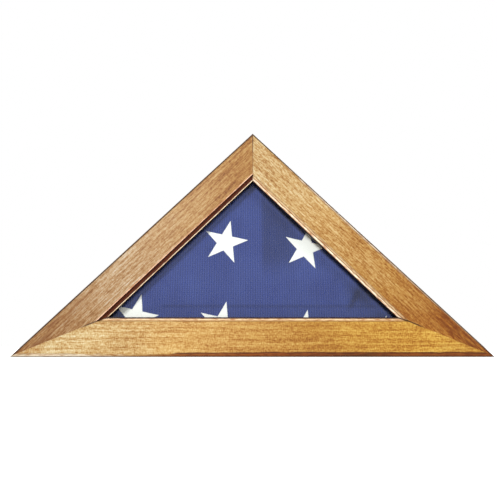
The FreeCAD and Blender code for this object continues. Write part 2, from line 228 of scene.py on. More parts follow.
def rail_wood(name, seed, turn, reach, half_length, mitres, tones, weights, tips, inner_band,
              rim, rim_width, rim_line, outline_width):
    """The finish of one rail; its widths and depths are in millimetres.

    mitres has the half-angle and darkness of the joint at each end. tips has the darker stretches, as
    (colour, share of the length where it starts, share where it is full, cover). inner_band has
    colour stops by distance from the outer edge, which paint light and shade on the cove, the lip and
    the gap. rim has the outer edge's strip of wear with painted light and shade, as (share of the
    length, colour, share of rim_width), and rim_line is how dark the painted shade line beside it is.
    """
    made, tree = material(name)
    place = along_the_grain(tree, turn, reach)
    wood, figure, share = stained_grain(tree, place, half_length, tones, weights, seed)
    axes = add(tree, "SeparateXYZ", (place,))
    along, depth, inset = axes.outputs["X"], axes.outputs["Y"], axes.outputs["Z"]

    # Darker stain in streaks towards the tips, most of it near the outer edge.
    streak = noise_layer(tree, place, (16, 1.3, 1.3), seed + 5, 3.0, 0.65)
    near_edge = add(tree, "MapRange", (inset, 6.0, 24.0, 1.0, 0.35))
    for code, start, full, cover in tips:
        near_tip = add(tree, "MapRange", (share, start, full))
        near_tip = add(tree, "Math", (near_tip, near_edge), operation="MULTIPLY")
        streaky = add(tree, "MapRange", (streak, 0.42, 0.56, 0.15, cover))
        stain = add(tree, "Math", (near_tip, streaky), operation="MULTIPLY")
        wood = add(tree, "Mix", (stain, wood, linear(code)), data_type="RGBA")

    # The inner band paints light and shade on the cove, the lip and the gap behind it, with grime in them.
    span = rail_width + 1.0
    band = add(tree, "ValToRGB", (add(tree, "MapRange", (inset, 0.0, span)),),
               [(at / span, code, cover) for at, code, cover in inner_band])
    grime = noise_layer(tree, place, (6, 0.8, 0.8), seed + 9, 2.0)
    dirt = add(tree, "ValToRGB", (grime,), ((0.34, "#c09878", 1.0), (0.56, "#ffffff", 1.0)))
    grimy_painted_band = add(tree, "Mix", (1.0, band, dirt), data_type="RGBA", blend_type="MULTIPLY")
    wood = add(tree, "Mix", (band.outputs["Alpha"], wood, grimy_painted_band), data_type="RGBA")

    # The rounded outer edge has a frayed strip of wear and painted highlight, painted shade on the bottom
    # rail, and a dark line of painted shade on the strip's inner side.
    fray = noise_layer(tree, place, (14, 1.5, 1.5), seed + 7, 3.0)
    share_shift = add(tree, "MapRange", (fray, 0.3, 0.7, -0.04, 0.04))
    inset_shift = add(tree, "MapRange", (fray, 0.3, 0.7, -0.4, 0.4))
    depth_shift = add(tree, "MapRange", (fray, 0.3, 0.7, -0.6, 0.6))
    rim_wear_light_and_shade = add(tree, "ValToRGB", (add(tree, "Math", (share, share_shift), operation="ADD"),), rim)
    pale_strip_width = add(tree, "Math", (rim_wear_light_and_shade.outputs["Alpha"], rim_width), operation="MULTIPLY")
    frayed_inset = add(tree, "Math", (inset, inset_shift), operation="ADD")
    from_rim = add(tree, "Math", (frayed_inset, pale_strip_width), operation="SUBTRACT")
    frayed_depth = add(tree, "Math", (depth, depth_shift), operation="ADD")
    on_round = add(tree, "MapRange", (frayed_depth, 2.8, 4.2, 1.0, 0.0))
    grimy_rim_wear_light_and_shade = add(tree, "Mix", (1.0, rim_wear_light_and_shade, dirt), data_type="RGBA", blend_type="MULTIPLY")
    on_rim = add(tree, "MapRange", (from_rim, -0.4, 0.4, 0.92, 0.0))
    rim_cover = add(tree, "Math", (on_rim, on_round), operation="MULTIPLY")
    wood = add(tree, "Mix", (rim_cover, wood, grimy_rim_wear_light_and_shade), data_type="RGBA")
    from_line = add(tree, "Math", (from_rim,), operation="ABSOLUTE")
    line = add(tree, "MapRange", (from_line, 0.3, 0.9, rim_line, 0.0))
    wide_strip = add(tree, "MapRange", (rim_wear_light_and_shade.outputs["Alpha"], 0.6, 0.9))
    line = add(tree, "Math", (line, wide_strip), operation="MULTIPLY")
    line = add(tree, "Math", (line, on_round), operation="MULTIPLY")
    wood = add(tree, "Mix", (line, wood, linear("#4a1c06")), data_type="RGBA")

    # A thin dark outline of painted shade along the outer edge.
    outline = add(tree, "MapRange", (inset, outline_width - 0.3, outline_width + 0.3, 0.9, 0.0))
    outline = add(tree, "Math", (outline, on_round), operation="MULTIPLY")
    wood = add(tree, "Mix", (outline, wood, linear("#35200f")), data_type="RGBA")

    # Dark joints: the lower ones opened only near the lip, and the top one mostly at its outer end.
    for sign, (half_angle, darkness) in zip((1.0, -1.0), mitres):
        run = add(tree, "Math", (along, sign, half_length), operation="MULTIPLY_ADD")
        joint_inset = add(tree, "Math", (run, math.tan(math.radians(half_angle))), operation="MULTIPLY")
        gap = add(tree, "Math", (joint_inset, inset), operation="SUBTRACT")
        joint = add(tree, "MapRange", (gap, 0.35, 0.95, darkness, 0.0))
        opening = (25.0, 27.5, 0.05, 1.0) if half_angle < 45 else (8.0, 16.0, 1.0, 0.45)
        open_share = add(tree, "MapRange", (inset,) + opening)
        joint = add(tree, "Math", (joint, open_share), operation="MULTIPLY")
        wood = add(tree, "Mix", (joint, wood, linear("#3f2212")), data_type="RGBA")

    # The wall under the lip is painted darkest as shade, so that it reads as a gap.
    inner_wall = add(tree, "MapRange", (depth, cove_depth + 0.7, cove_depth + 1.2))
    past_lip = add(tree, "Math", (inset, rail_width - 0.3), operation="GREATER_THAN")
    hidden = add(tree, "Math", (inner_wall, past_lip), operation="MULTIPLY")
    wood = add(tree, "Mix", (hidden, wood, linear("#1d0f08")), data_type="RGBA")

    bump = add(tree, "Bump", {"Height": figure, "Strength": 0.25, "Distance": 0.0002})
    shade = add(tree, "BsdfPrincipled", {"Base Color": wood, "Roughness": 0.55, "Normal": bump,
                                         "Specular IOR Level": 0.25, "Coat Weight": 0.05,
                                         "Coat Roughness": 0.3})
    add(tree, "OutputMaterial", {"Surface": shade})
    return made


def coat(finish, *node_names):
    """Gives CAD nodes one finish."""
    for node_name in node_names:
        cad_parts[node_name].data.materials.clear()
        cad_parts[node_name].data.materials.append(finish)


# The left rail's cove is painted dark as shade, darker than its own shade makes it, between two pale edges.
coat(rail_wood(
    "left_rail_golden_stained_alder", 3.1, 225, short_edge_half, short_edge_half,
    mitres=((45, 0.85), (22.5, 0.9)),
    tones=("#b39461", "#baa178", "#c0b2a0", "#aa8d66"),
    weights=(0.14, 0.10, 0.37, 0.26, 0.13),
    tips=(("#6a3a1c", 0.72, 0.97, 0.9),),
    inner_band=((0.0, "#000000", 0.0), (30.1, "#f4c8aa", 0.0), (30.4, "#f4c8aa", 0.9),
                (30.85, "#ecbc9c", 0.9), (31.1, "#2a0c02", 1.0), (31.8, "#5a2408", 1.0),
                (33.2, "#5a2408", 1.0), (34.1, "#2a0c02", 1.0), (34.4, "#f4ddb8", 1.0),
                (34.8, "#e8cda4", 1.0), (35.0, "#5a3a22", 1.0)),
    rim=((0.1, "#caa078", 0.3), (0.9, "#d8b080", 0.3)),
    rim_width=3.2, rim_line=0.0, outline_width=2.2), "left_rail")

# The right rail's band is painted pale as light on its cove, with a brown line of painted shade in the cove.
coat(rail_wood(
    "right_rail_golden_stained_alder", 11.7, 135, short_edge_half, short_edge_half,
    mitres=((22.5, 1.0), (45, 0.85)),
    tones=("#b27e34", "#bc995b", "#ceb888", "#cabb97"),
    weights=(0.12, 0.08, 0.32, 0.32, 0.16),
    tips=(("#5e2808", 0.34, 0.05, 0.95),),
    inner_band=((0.0, "#000000", 0.0), (30.9, "#fbdcaa", 0.0), (31.3, "#fbdcaa", 0.85),
                (32.2, "#fbdcaa", 0.85), (32.55, "#8a5a34", 0.9), (32.75, "#8a5a34", 0.9),
                (33.1, "#ffeed0", 1.0), (34.3, "#ffeed0", 1.0), (34.7, "#8a6240", 1.0),
                (35.0, "#553622", 1.0)),
    rim=((0.03, "#d8b088", 0.5), (0.12, "#e9c79a", 0.75), (0.50, "#f6e2c4", 1.0),
         (0.78, "#f6e2c4", 0.9), (0.90, "#d8b088", 0.3)),
    rim_width=3.2, rim_line=0.5, outline_width=2.1), "right_rail")

# The bottom rail's outer edge is painted cream as light at the left end and deep brown as shade at the
# right, and its lip ends in a dark line of painted shade.
coat(rail_wood(
    "bottom_rail_golden_stained_alder", 23.9, 0, 0.0, long_edge_half,
    mitres=((22.5, 0.8), (22.5, 0.8)),
    tones=("#d7cead", "#d3b679", "#c29d50", "#dcbd61"),
    weights=(0.12, 0.12, 0.30, 0.24, 0.22),
    tips=(("#8a5a24", 0.84, 0.98, 0.6), ("#9c6428", 0.12, 0.02, 0.6)),
    inner_band=((0.0, "#000000", 0.0), (30.7, "#a07e50", 0.0), (31.1, "#a07e50", 0.7),
                (31.9, "#a07e50", 0.7), (32.3, "#e2c296", 0.95), (33.4, "#e4caa4", 0.95),
                (33.7, "#84664a", 0.95), (34.1, "#583e2a", 1.0), (34.5, "#26170f", 1.0)),
    rim=((0.02, "#fff0d2", 0.72), (0.17, "#fff0d2", 0.72), (0.21, "#c89a5c", 0.6),
         (0.31, "#a87036", 0.6), (0.36, "#94501c", 0.85), (0.50, "#8a4412", 1.0),
         (0.66, "#7a3a10", 1.0), (0.71, "#4a1e06", 1.0), (0.77, "#84400f", 1.0)),
    rim_width=3.6, rim_line=0.9, outline_width=0.6), "bottom_rail")


# ---- Mitre nails, glazing points and box brads ----------------------------------------------
# Small bright steel fasteners, stamped or drawn from wire: V-nails across the mitres, points
# that hold the glass in, and headed brads through the box. Mostly buried in the wood.

def worked_metal(name, pale, deep, size, rough):
    """A metal with fine tool lines and dull blotches; size is a line's size along X, Y and Z in mm.

    Real lines are under a tenth of a millimetre wide, and are drawn coarser so that they show.
    """
    made, tree = material(name)
    place = along_the_grain(tree, 0, 0.0)
    lines = noise_layer(tree, place, size, 5.0, 3.0, 0.6)
    stain = noise_layer(tree, place, (6, 6, 6), 9.0, 3.0, 0.6)
    bright_line = add(tree, "MapRange", (lines, 0.3, 0.7))
    brightness_factor = add(tree, "MapRange", (stain, 0.3, 0.65, 0.35, 1.0))
    share = add(tree, "Math", (bright_line, brightness_factor), operation="MULTIPLY")
    tone = add(tree, "Mix", (share, linear(deep), linear(pale)), data_type="RGBA")
    gloss = add(tree, "MapRange", (stain, 0.3, 0.7, rough + 0.12, rough - 0.06))
    bump = add(tree, "Bump", {"Height": lines, "Strength": 0.05, "Distance": 0.00005})
    shade = add(tree, "BsdfPrincipled", {"Base Color": tone, "Metallic": 1.0, "Roughness": gloss,
                                         "Normal": bump})
    add(tree, "OutputMaterial", {"Surface": shade})
    return made


# Drawing leaves fine lines along the wire, which break up its shine.
bright_steel = worked_metal("bright_drawn_steel", "#c9cac8", "#8d8f90", (4, 0.3, 0.3), 0.34)
coat(bright_steel, "mitre_v_nails", "glazing_points", "box_brads")


# ---- Glass pane -----------------------------------------------------------------------------
# 2 mm clear float glass in the rabbet. Most light passes straight through, and the rest is a
# mirror reflection that grows at a grazing angle.

pane, tree = material("clear_float_glass")
facing = add(tree, "LayerWeight", {"Blend": 0.5})
grazing = add(tree, "Math", (facing.outputs["Facing"], 5.0), operation="POWER")
mirror_share = add(tree, "MapRange", (grazing, 0.0, 1.0, 0.04, 1.0))
through = add(tree, "BsdfTransparent", {"Color": linear("#fdfefd")})
mirror = add(tree, "BsdfGlossy", {"Roughness": 0.03})
shade = add(tree, "MixShader", (mirror_share, through, mirror))
add(tree, "OutputMaterial", {"Surface": shade})
coat(pane, "glass_pane")


# ---- Box: sloping sides and base board ------------------------------------------------------
# 12 mm solid alder boards glued behind the moulding and stained like it. They are planed flat,
# so pores and a few darker streaks show, and their long back edges are eased and a little worn.

def board_wood(name, turn, reach, half_length, seed, outer_face, back_edge):
    """Board finish, worn pale along the edge between its outer face and its back."""
    made, tree = material(name)
    place = along_the_grain(tree, turn, reach)
    tones = ("#a8814f", "#b08a58", "#a87f4c", "#9f7442")
    wood, figure, _ = stained_grain(tree, place, half_length, tones, (0.2, 0.15, 0.35, 0.22, 0.08), seed)
    axes = add(tree, "SeparateXYZ", (place,))
    rub = noise_layer(tree, place, (18, 2, 2), seed + 4, 3.0)
    from_back = add(tree, "Math", (back_edge, axes.outputs["Y"]), operation="SUBTRACT")
    from_side = add(tree, "Math", (axes.outputs["Z"], outer_face), operation="SUBTRACT")
    from_side = add(tree, "Math", (from_side,), operation="ABSOLUTE")
    from_edge = add(tree, "Math", (from_back, from_side), operation="MAXIMUM")
    uneven = add(tree, "MapRange", (rub, 0.3, 0.7, -0.5, 0.5))
    from_edge = add(tree, "Math", (from_edge, uneven), operation="ADD")
    wear = add(tree, "MapRange", (from_edge, 0.3, 1.1, 0.6, 0.0))
    wood = add(tree, "Mix", (wear, wood, linear("#e6c79a")), data_type="RGBA")
    bump = add(tree, "Bump", {"Height": figure, "Strength": 0.03, "Distance": 0.0002})
    shade = add(tree, "BsdfPrincipled", {"Base Color": wood, "Roughness": 0.75, "Normal": bump,
                                         "Specular IOR Level": 0.2})
    add(tree, "OutputMaterial", {"Surface": shade})
    return made


side_back = (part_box("left_side")[1].y - front) / MM
base_back = (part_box("base_board")[1].y - front) / MM
board_inset = 4.0
coat(board_wood("left_side_golden_stained_alder", 225, short_edge_half, short_edge_half, 41.3,
                board_inset, side_back), "left_side")
coat(board_wood("right_side_golden_stained_alder", 135, short_edge_half, short_edge_half, 57.9,
                board_inset, side_back), "right_side")
coat(board_wood("base_board_golden_stained_alder", 0, 0.0, long_edge_half, 73.1,
                0.0, base_back), "base_board")


# ---- Rear door and hanger plate -------------------------------------------------------------
# 6 mm birch plywood, rotary cut and wiped with thin stain. Its face shows wide watery figure,
# and its sawn edges show five plies with darker end grain and glue lines between them.

ply_count = 5


def plywood(name, seed):
    """Plywood whose faces show veneer and whose edges show the plies."""
    made, tree = material(name)
    place = along_the_grain(tree, 0, 0.0)
    door_front = (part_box("door_panel")[0].y - front) / MM
    door_back = (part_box("door_panel")[1].y - front) / MM

    watery = noise_layer(tree, place, (120, 16, 26), seed, 2.0, 0.5)
    rings = add(tree, "Math", (watery, 52.0), operation="MULTIPLY")
    rings = add(tree, "Math", (rings,), operation="SINE")
    veneer = add(tree, "ValToRGB", (add(tree, "MapRange", (rings, -1.0, 1.0)),),
                 ((0.0, "#b88e5c", 1.0), (0.5, "#c39c6a", 1.0), (1.0, "#c8a372", 1.0)))
    fine = noise_layer(tree, place, (7, 1.0, 0.9), seed + 2, 2.0)
    flecks = add(tree, "ValToRGB", (add(tree, "MapRange", (fine, 0.32, 0.6)),),
                 ((0.0, "#cfae86", 1.0), (1.0, "#ffffff", 1.0)))
    veneer = add(tree, "Mix", (1.0, veneer, flecks), data_type="RGBA", blend_type="MULTIPLY")

    # Two thin glue lines on either side of each crosswise ply, by the share of the thickness.
    depth = add(tree, "SeparateXYZ", (place,)).outputs["Y"]
    plies = add(tree, "ValToRGB", (add(tree, "MapRange", (depth, door_front, door_back)),),
                [(step * 0.1, code, 1.0) for step, code in enumerate(
                    ("#c8a26e", "#b88c58", "#7c5630", "#8e6438", "#c49c68", "#c8a26e",
                     "#7c5630", "#8e6438", "#c49c68", "#b88c58", "#c8a26e"))])
    end_grain = noise_layer(tree, place, (1.2, 0.4, 1.2), seed + 4, 2.0)
    pitted = add(tree, "MapRange", (end_grain, 0.35, 0.65, 0.0, 0.45))
    plies = add(tree, "Mix", (pitted, plies, linear("#5e4026")), data_type="RGBA")

    from_front = add(tree, "Math", (depth, door_front), operation="SUBTRACT")
    from_back = add(tree, "Math", (door_back, depth), operation="SUBTRACT")
    from_face = add(tree, "Math", (from_front, from_back), operation="MINIMUM")
    ply = (door_back - door_front) / ply_count
    on_edge = add(tree, "MapRange", (from_face, 0.10 * ply, 0.22 * ply))
    wood = add(tree, "Mix", (on_edge, veneer, plies), data_type="RGBA")
    bump = add(tree, "Bump", {"Height": fine, "Strength": 0.06, "Distance": 0.0001})
    shade = add(tree, "BsdfPrincipled", {"Base Color": wood, "Roughness": 0.75, "Normal": bump,
                                         "Specular IOR Level": 0.2})
    add(tree, "OutputMaterial", {"Surface": shade})
    return made


coat(plywood("door_stained_birch_plywood", 4.2), "door_panel")
coat(plywood("hanger_plate_stained_birch_plywood", 19.4), "hanger_plate")


# ---- Door felt ------------------------------------------------------------------------------
# 1 mm pressed wool felt, dyed black and glued inside the door so that the flag isn't rubbed. Its
# matted fibres leave no weave, only a soft nap and pale hairs, drawn coarser than real ones.

felt, tree = material("pressed_black_wool_felt")
place = along_the_grain(tree, 0, 0.0)
nap = noise_layer(tree, place, (1.3, 1.3, 1.3), 2.0, 4.0, 0.7)
hairs = noise_layer(tree, place, (6.0, 0.5, 0.5), 8.0, 2.0, 0.6)
wool = add(tree, "ValToRGB", (add(tree, "MapRange", (nap, 0.3, 0.7)),),
           ((0.0, "#141418", 1.0), (1.0, "#2b2b31", 1.0)))
hair_share = add(tree, "MapRange", (hairs, 0.66, 0.72, 0.0, 0.4))
wool = add(tree, "Mix", (hair_share, wool, linear("#6a6a70")), data_type="RGBA")
bump = add(tree, "Bump", {"Height": nap, "Strength": 0.6, "Distance": 0.0004})
shade = add(tree, "BsdfPrincipled", {"Base Color": wool, "Roughness": 0.95, "Normal": bump,
                                     "Sheen Weight": 0.3, "Sheen Roughness": 0.5})
add(tree, "OutputMaterial", {"Surface": shade})
coat(felt, "door_felt")


# ---- Hinges and screws ----------------------------------------------------------------------
# Two small butt hinges, pressed from brass strip that was brushed along its length and has
# dulled a little, on drawn steel pins, with slotted brass screws whose heads were turned.

coat(worked_metal("brushed_brass_hinge_strip", "#e8d3a0", "#bfa26a", (9, 0.4, 0.4), 0.38),
     "left_case_leaf", "right_case_leaf", "left_door_leaf", "right_door_leaf")
coat(worked_metal("turned_brass_screws", "#ead6a4", "#b89a62", (1.5, 1.5, 0.4), 0.36),
     "plate_screws", "case_hinge_screws", "door_hinge_screws")
coat(bright_steel, "left_hinge_pin", "right_hinge_pin")


# ---- Magnets and strikes --------------------------------------------------------------------
# Nickel-plated disc magnets let into the sides' back edges, and zinc-plated steel discs let into
# the door opposite them. The plating is bright, with fine turning marks.

coat(worked_metal("bright_nickel_plate", "#d6d2c8", "#a9a59c", (0.4, 3, 3), 0.2), "case_magnets")
zinc = worked_metal("bright_zinc_plate", "#cdd0d3", "#a3a8ad", (2.2, 2.2, 0.6), 0.38)
coat(zinc, "door_strikes")


# ---- Hanger ---------------------------------------------------------------------------------
# A stamped steel sawtooth strip, held to the fixed plate by two small nails. Both have the same
# bright zinc plate as the strikes, which is paler and bluer than bare steel.

coat(zinc, "sawtooth_hanger", "hanger_nails")


# ---- Wall bumpers ---------------------------------------------------------------------------
# Soft moulded rubber discs, stuck to the base board's back edge. Their skin is matt and gritty,
# with a dusty grey bloom. The grit is drawn coarser than it is, because real grit wouldn't show.

rubber, tree = material("moulded_dark_rubber")
place = along_the_grain(tree, 0, 0.0)
bloom = noise_layer(tree, place, (2.5, 2.5, 2.5), 3.0, 4.0, 0.7)
grit = noise_layer(tree, place, (0.5, 0.5, 0.5), 6.0, 2.0)
skin = add(tree, "ValToRGB", (add(tree, "MapRange", (bloom, 0.3, 0.75)),),
           ((0.0, "#26211d", 1.0), (1.0, "#4a433c", 1.0)))
bump = add(tree, "Bump", {"Height": grit, "Strength": 0.25, "Distance": 0.0001})
shade = add(tree, "BsdfPrincipled", {"Base Color": skin, "Roughness": 0.75, "Normal": bump})
add(tree, "OutputMaterial", {"Surface": shade})
coat(rubber, "wall_bumpers")


# ---- Folded flag: the bundle ----------------------------------------------------------------
# A 3 x 5 ft cotton flag, folded in half twice and then over and over into a triangle. Its turns
# lie one behind another as soft packets with rounded folds, and its end is tucked in at the back.

flag_low, flag_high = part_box("folded_flag")
rabbet_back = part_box("left_rail")[1].y
bundle_low_z = flag_low.z
bundle_height = flag_high.z - flag_low.z
room_to_swell = 3 * MM
packet_lift = 0.8 * MM
packet_count = 7
first_packet_y = rabbet_back + 1.2 * MM
packet_pitch = (flag_high.y - 1.6 * MM - first_packet_y) / packet_count
packet_gap = 0.9 * MM
fold_rounding = 2.2 * MM
cloth_mesh = 3.4 * MM
stuffing = 4.0
settling_steps = 20
swell_cap = 1.4 * MM


def right_triangle(name, height, y, low_z):
    """A flat right-angled triangle of cloth, its long side down, as one face left in edit mode."""
    bpy.ops.object.select_all(action="DESELECT")
    bpy.ops.mesh.primitive_circle_add(vertices=3, radius=height / 1.5, fill_type="NGON",
                                      rotation=(math.radians(90), 0, 0), location=(0, y, low_z + height / 3))
    piece = bpy.context.object
    piece.name = name
    bpy.ops.object.transform_apply(location=True, rotation=True, scale=True)
    bpy.ops.object.mode_set(mode="EDIT")
    bpy.ops.mesh.select_all(action="SELECT")
    bpy.ops.transform.resize(value=(math.sqrt(3), 1, 1))
    return piece


bundle = right_triangle("flag_bundle", bundle_height - room_to_swell, first_packet_y,
                        bundle_low_z + packet_lift)
bpy.ops.mesh.extrude_region_move(TRANSFORM_OT_translate={"value": (0, packet_pitch - packet_gap, 0)})
bpy.ops.mesh.select_all(action="SELECT")
bpy.ops.mesh.normals_make_consistent(inside=False)
bpy.ops.mesh.bevel(offset=fold_rounding, segments=3, affect="EDGES")
bpy.ops.object.mode_set(mode="OBJECT")
even = bundle.modifiers.new("even_mesh", "REMESH")
even.voxel_size = cloth_mesh
bpy.ops.object.modifier_apply(modifier="even_mesh")
flat = [vertex.co.copy() for vertex in bundle.data.vertices]
stuffed = bundle.modifiers.new("stuffed_cloth", "CLOTH")
stuffed.settings.use_pressure = True
stuffed.settings.uniform_pressure_force = stuffing
stuffed.settings.effector_weights.gravity = 0.0
for step in range(1, settling_steps + 1):
    bpy.context.scene.frame_set(step)
bpy.ops.object.modifier_apply(modifier="stuffed_cloth")
bpy.context.scene.frame_set(1)
for vertex, start in zip(bundle.data.vertices, flat):
    move = vertex.co - start
    vertex.co = start + move * min(1.0, swell_cap / max(move.length, 1e-9))

# Each packet is turned over from the one before, and slips and slumps in its own way.
packets = [bundle]
for index in range(1, packet_count):
    packet = bundle.copy()
    packet.data = bundle.data.copy()
    bpy.context.scene.collection.objects.link(packet)
    packets.append(packet)
for index, packet in enumerate(packets):
    side = -1 if index % 2 else 1
    for vertex in packet.data.vertices:
        x, y, z = vertex.co
        slip = noise.noise(Vector((side * x * 14, z * 14, index * 3.1)))
        slump = noise.noise(Vector((side * x * 30, z * 30, index * 5.7)))
        vertex.co.x = side * x * (1 - 0.006 * (index % 3)) + 1.2 * MM * slip
        vertex.co.y = y + index * packet_pitch + 0.5 * MM * slump
        vertex.co.z = max(bundle_low_z, z - 0.6 * MM * (index % 3) + 0.8 * MM * slip)
    if side < 0:
        packet.data.flip_normals()
bpy.ops.object.select_all(action="DESELECT")
for packet in packets:
    packet.select_set(True)
bpy.context.view_layer.objects.active = bundle
bpy.ops.object.join()
bpy.ops.object.shade_smooth()

# Plain-woven cotton bunting, dyed navy: upright ribs, a finer weft, slubs where the yarn is thick,
# and faded blotches. Real threads lie 0.4 mm apart, too close to show, so they are drawn coarser.
thread_gap = 2.3
weft_gap = 0.8 * thread_gap

navy, tree = material("navy_woven_cotton_bunting")
place = along_the_grain(tree, 0, 0.0)
warp = add(tree, "TexWave", {"Vector": place, "Scale": math.pi / (10 * thread_gap), "Distortion": 0.5,
                             "Detail": 1.0, "Detail Scale": 0.3}, bands_direction="X")
weft = add(tree, "TexWave", {"Vector": place, "Scale": math.pi / (10 * weft_gap), "Distortion": 1.2,
                             "Detail": 1.0, "Detail Scale": 0.5}, bands_direction="Z")
slub = noise_layer(tree, place, (1.7, 1.7, 24.0), 4.0, 2.0)
threads = 0.0
for layer, weight in ((warp.outputs["Fac"], 0.46), (weft.outputs["Fac"], 0.20), (slub, 0.34)):
    threads = add(tree, "Math", (layer, weight, threads), operation="MULTIPLY_ADD")
blotch = noise_layer(tree, place, (30, 30, 30), 7.0, 3.0)
faded = add(tree, "MapRange", (blotch, 0.3, 0.7))
tone = add(tree, "Mix", (faded, linear("#2f3d7c"), linear("#384787")), data_type="RGBA")
thread_shade = add(tree, "MapRange", (threads, 0.2, 0.8, 0.72, 1.2))
# Shade painted onto the cloth from a point attribute darkens the creases, the dent, the lips and the low
# corners. Below 0 it is painted light beside the lips.
painted_shade = add(tree, "Attribute", attribute_name="painted_shade").outputs["Fac"]
brightness_factor = add(tree, "Math", (painted_shade, -0.6, 1.0), operation="MULTIPLY_ADD")
brightness = add(tree, "Math", (thread_shade, brightness_factor), operation="MULTIPLY")
blue = add(tree, "VectorMath", (tone, brightness), operation="SCALE")
bump = add(tree, "Bump", {"Height": threads, "Strength": 0.3, "Distance": 0.0002})
shade = add(tree, "BsdfPrincipled", {"Base Color": blue, "Roughness": 0.85, "Normal": bump,
                                     "Specular IOR Level": 0.2, "Sheen Weight": 0.12,
                                     "Sheen Roughness": 0.4})
add(tree, "OutputMaterial", {"Surface": shade})

bundle.data.materials.clear()
bundle.data.materials.append(navy)
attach(bundle, "case")
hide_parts("folded_flag")


# ---- Folded flag: the tucked end ------------------------------------------------------------
# The last flap of the flag, two layers of cloth folded to a smaller triangle and tucked into the
# pocket of the long fold, so its free edge crosses the back of the bundle.

tuck_height = bundle_height * 0.62
tuck_shift = 38 * MM

tuck = right_triangle("flag_tuck", tuck_height, flag_high.y - 1.1 * MM, bundle_low_z + 4 * MM)
bpy.ops.mesh.subdivide(number_cuts=47)
bpy.ops.object.mode_set(mode="OBJECT")
for vertex in tuck.data.vertices:
    x, y, z = vertex.co
    wave = noise.noise(Vector((x * 26, z * 26, 8.8)))
    vertex.co = (x + tuck_shift, y + 0.5 * MM * wave, z + 0.055 * (x + tuck_height))
fold = tuck.modifiers.new("two_layers", "SOLIDIFY")
fold.thickness = 1.0 * MM
fold.offset = 0
bpy.ops.object.modifier_apply(modifier="two_layers")
soften = tuck.modifiers.new("rolled_fold", "BEVEL")
soften.width = 0.4 * MM
soften.segments = 2
soften.limit_method = "ANGLE"
bpy.ops.object.modifier_apply(modifier="rolled_fold")
bpy.ops.object.shade_smooth()
tuck.data.materials.append(navy)
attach(tuck, "case")
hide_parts("folded_flag")


# ---- Folded flag: the front layer -----------------------------------------------------------
# The star field pressed flat behind the glass. Edges of deeper layers show through it as creases,
# one of them upright under the top corner, and it has a shallow dent near the right-hand lip.

layer_inset = 31.2 * MM
layer_thickness = 2.2 * MM
front_layer_y = flag_low.y + 0.6 * MM
ridge_x = 8.7 * MM


def smooth_step(value, start, end):
    """A smooth rise from 0 to 1 between two values."""
    share = min(1.0, max(0.0, (value - start) / (end - start)))
    return share * share * (3 - 2 * share)


def dent(x, z):
    """The crease and the hollow beside the right-hand lip, each from 0 to 1."""
    run = (x - 98 * MM) - 0.56 * (z - 56 * MM)
    crease = math.exp(-(run / (2.6 * MM)) ** 2 - ((z - 53 * MM) / (9 * MM)) ** 2)
    hollow = math.exp(-((x - 106 * MM) / (14 * MM)) ** 2 - ((z - 57 * MM) / (11 * MM)) ** 2)
    return crease, hollow


def drape(x, z):
    """How far back the front layer lies at a place."""
    # It falls away to the right of the upright ridge, and the ridge itself is a small step.
    fall = smooth_step(x, ridge_x, 44 * MM) * (1 - smooth_step(x, 44 * MM, 105 * MM))
    back = 2.8 * MM * fall * smooth_step(z, 62 * MM, 100 * MM)
    step = smooth_step(x, ridge_x - 0.8 * MM, ridge_x + 0.8 * MM)
    back += 0.5 * MM * step * smooth_step(z, 80 * MM, 96 * MM)
    # A level seam above the bottom lip, and the corner of a deeper layer at the left.
    below_seam = 1 - smooth_step(z, 45.2 * MM, 46.8 * MM)
    back += 0.45 * MM * below_seam * smooth_step(x, -90 * MM, -80 * MM)
    past_corner = 1 - smooth_step(x, -104.2 * MM, -102.6 * MM)
    back += 0.6 * MM * past_corner * (1 - smooth_step(z, 52 * MM, 58 * MM))
    # Slack all over, fine ripples and the dent.
    slack = noise.noise(Vector((x * 20, z * 20, 1.7)))
    ripple = noise.noise(Vector((x * 55, z * 24, 5.2)))
    back += 0.5 * MM * (slack + 0.5) + 0.15 * MM * ripple
    crease, hollow = dent(x, z)
    return back + 1.1 * MM * crease + 2.0 * MM * hollow


def from_lip(x, z, inset):
    """Distance inwards from a line along the nearer sloping rail, at an inset from its outer edge."""
    return (half_width - abs(x) - z) / math.sqrt(2) - inset


def painted_shade_at(x, z):
    """How much shade is painted on the cloth at a place, up to 1, or under 0 where painted light lightens
    it.
    """
    # Painted shade beside the ridge, along the seam and below it, and in the dent.
    beside = smooth_step(x, ridge_x - 0.5 * MM, ridge_x + 1.5 * MM) * (1 - smooth_step(x, 30 * MM, 52 * MM))
    painted_shade = 0.54 * beside * smooth_step(z, 70 * MM, 96 * MM)
    seam = math.exp(-((z - 46 * MM) / (0.9 * MM)) ** 2) * smooth_step(x, -88 * MM, -82 * MM)
    painted_shade += 0.42 * seam + 0.12 * (1 - smooth_step(z, 45 * MM, 47 * MM))
    crease, hollow = dent(x, z)
    painted_shade += 1.0 * crease + 0.9 * hollow
    # Painted shade as a dark line right at the sloping lips, and in the low corners. The strip beside that
    # line is lightened with painted light only to offset the lip's shadow, more at the left, where the
    # shadow is wider.
    inwards = from_lip(x, z, rail_width * MM)
    painted_shade += 0.5 * math.exp(-max(0.0, inwards) / (0.5 * MM))
    lightened = 0.9 if x < 0 else 0.4
    painted_shade -= lightened * math.exp(-((inwards - 2.2 * MM) / (1.8 * MM)) ** 2)
    painted_shade += 0.5 * math.exp(-((z - 36 * MM) / (5 * MM)) ** 2) * smooth_step(abs(x), 85 * MM, 135 * MM)
    return min(1.0, painted_shade)


def at_lip(x, z):
    """How far the layer turns back at its hidden edges."""
    edge = min(z - layer_inset, from_lip(x, z, layer_inset))
    return 2.6 * MM * math.exp(-edge / (1.6 * MM))


def front_surface(x, z):
    """Y of the front layer at a place."""
    return front_layer_y + drape(x, z) + at_lip(x, z)


